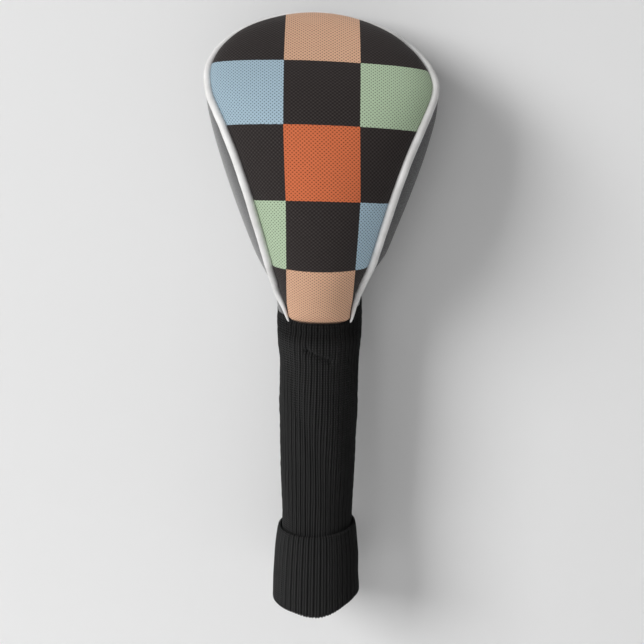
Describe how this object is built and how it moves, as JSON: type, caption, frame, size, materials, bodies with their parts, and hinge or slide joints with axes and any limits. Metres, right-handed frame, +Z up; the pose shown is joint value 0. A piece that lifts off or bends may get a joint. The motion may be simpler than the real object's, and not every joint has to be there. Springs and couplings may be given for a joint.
{
  "type": "driver head cover",
  "caption": "Padded golf driver head cover: checkered crown panel with white piping, dark side and sole panels, and a long ribbed-knit sock with a turned-up cuff.",
  "frame": {"origin": "on the club shaft's centre line, level with the folded lower edge of the cuff, where the shaft leaves the cover", "axes": "+Z up along the sock towards the shell, +X to the right seen from the front, the printed crown panel faces -Y"},
  "size_m": [0.123, 0.0842, 0.3354],
  "materials": {
    "printed_cloth": "printed polyester knit, checkerboard in five colours",
    "faux_leather": "grained black faux leather",
    "padding": "open-cell foam",
    "fleece": "brushed fleece",
    "white_vinyl": "satin white vinyl",
    "filler_cord": "twisted cotton",
    "ribbed_knit": "black ribbed knit",
    "casing_tape": "woven tape",
    "knitted_elastic": "knitted elastic"
  },
  "bodies": {
    "shell": {"crown_panel": "printed_cloth", "crown_foam": "padding", "crown_lining": "fleece", "sole_panel": "faux_leather", "sole_foam": "padding", "sole_lining": "fleece", "gusset_left_panel": "faux_leather", "gusset_left_foam": "padding", "gusset_left_lining": "fleece", "gusset_right_panel": "faux_leather", "gusset_right_foam": "padding", "gusset_right_lining": "fleece", "piping_wrap": "white_vinyl", "piping_cord": "filler_cord", "neck_casing": "casing_tape", "neck_elastic": "knitted_elastic", "sock_collar": "ribbed_knit"},
    "sock_upper": {"sock_front_bend": "ribbed_knit", "sock_upper_band": "ribbed_knit"},
    "sock_lower": {"sock_side_bend": "ribbed_knit", "sock_lower_band": "ribbed_knit"},
    "cuff": {"sock_gather": "ribbed_knit", "cuff_inner": "ribbed_knit", "cuff_outer": "ribbed_knit"}
  },
  "joints": [
    {"name": "neck_fold", "type": "hinge", "parent": "shell", "child": "sock_upper", "pos_m": [0, 0, 0.15], "axis": [1, 0, 0], "range_deg": [-45, 45], "deforming": ["sock_front_bend"]},
    {"name": "sock_sway", "type": "hinge", "parent": "sock_upper", "child": "sock_lower", "pos_m": [0, 0, 0.114], "axis": [0, 1, 0], "range_deg": [-45, 45], "deforming": ["sock_side_bend"]},
    {"name": "sock_gather", "type": "slide", "parent": "sock_lower", "child": "cuff", "axis": [0, 0, 1], "range_m": [0, 0.028], "deforming": ["sock_gather"]}
  ]
}
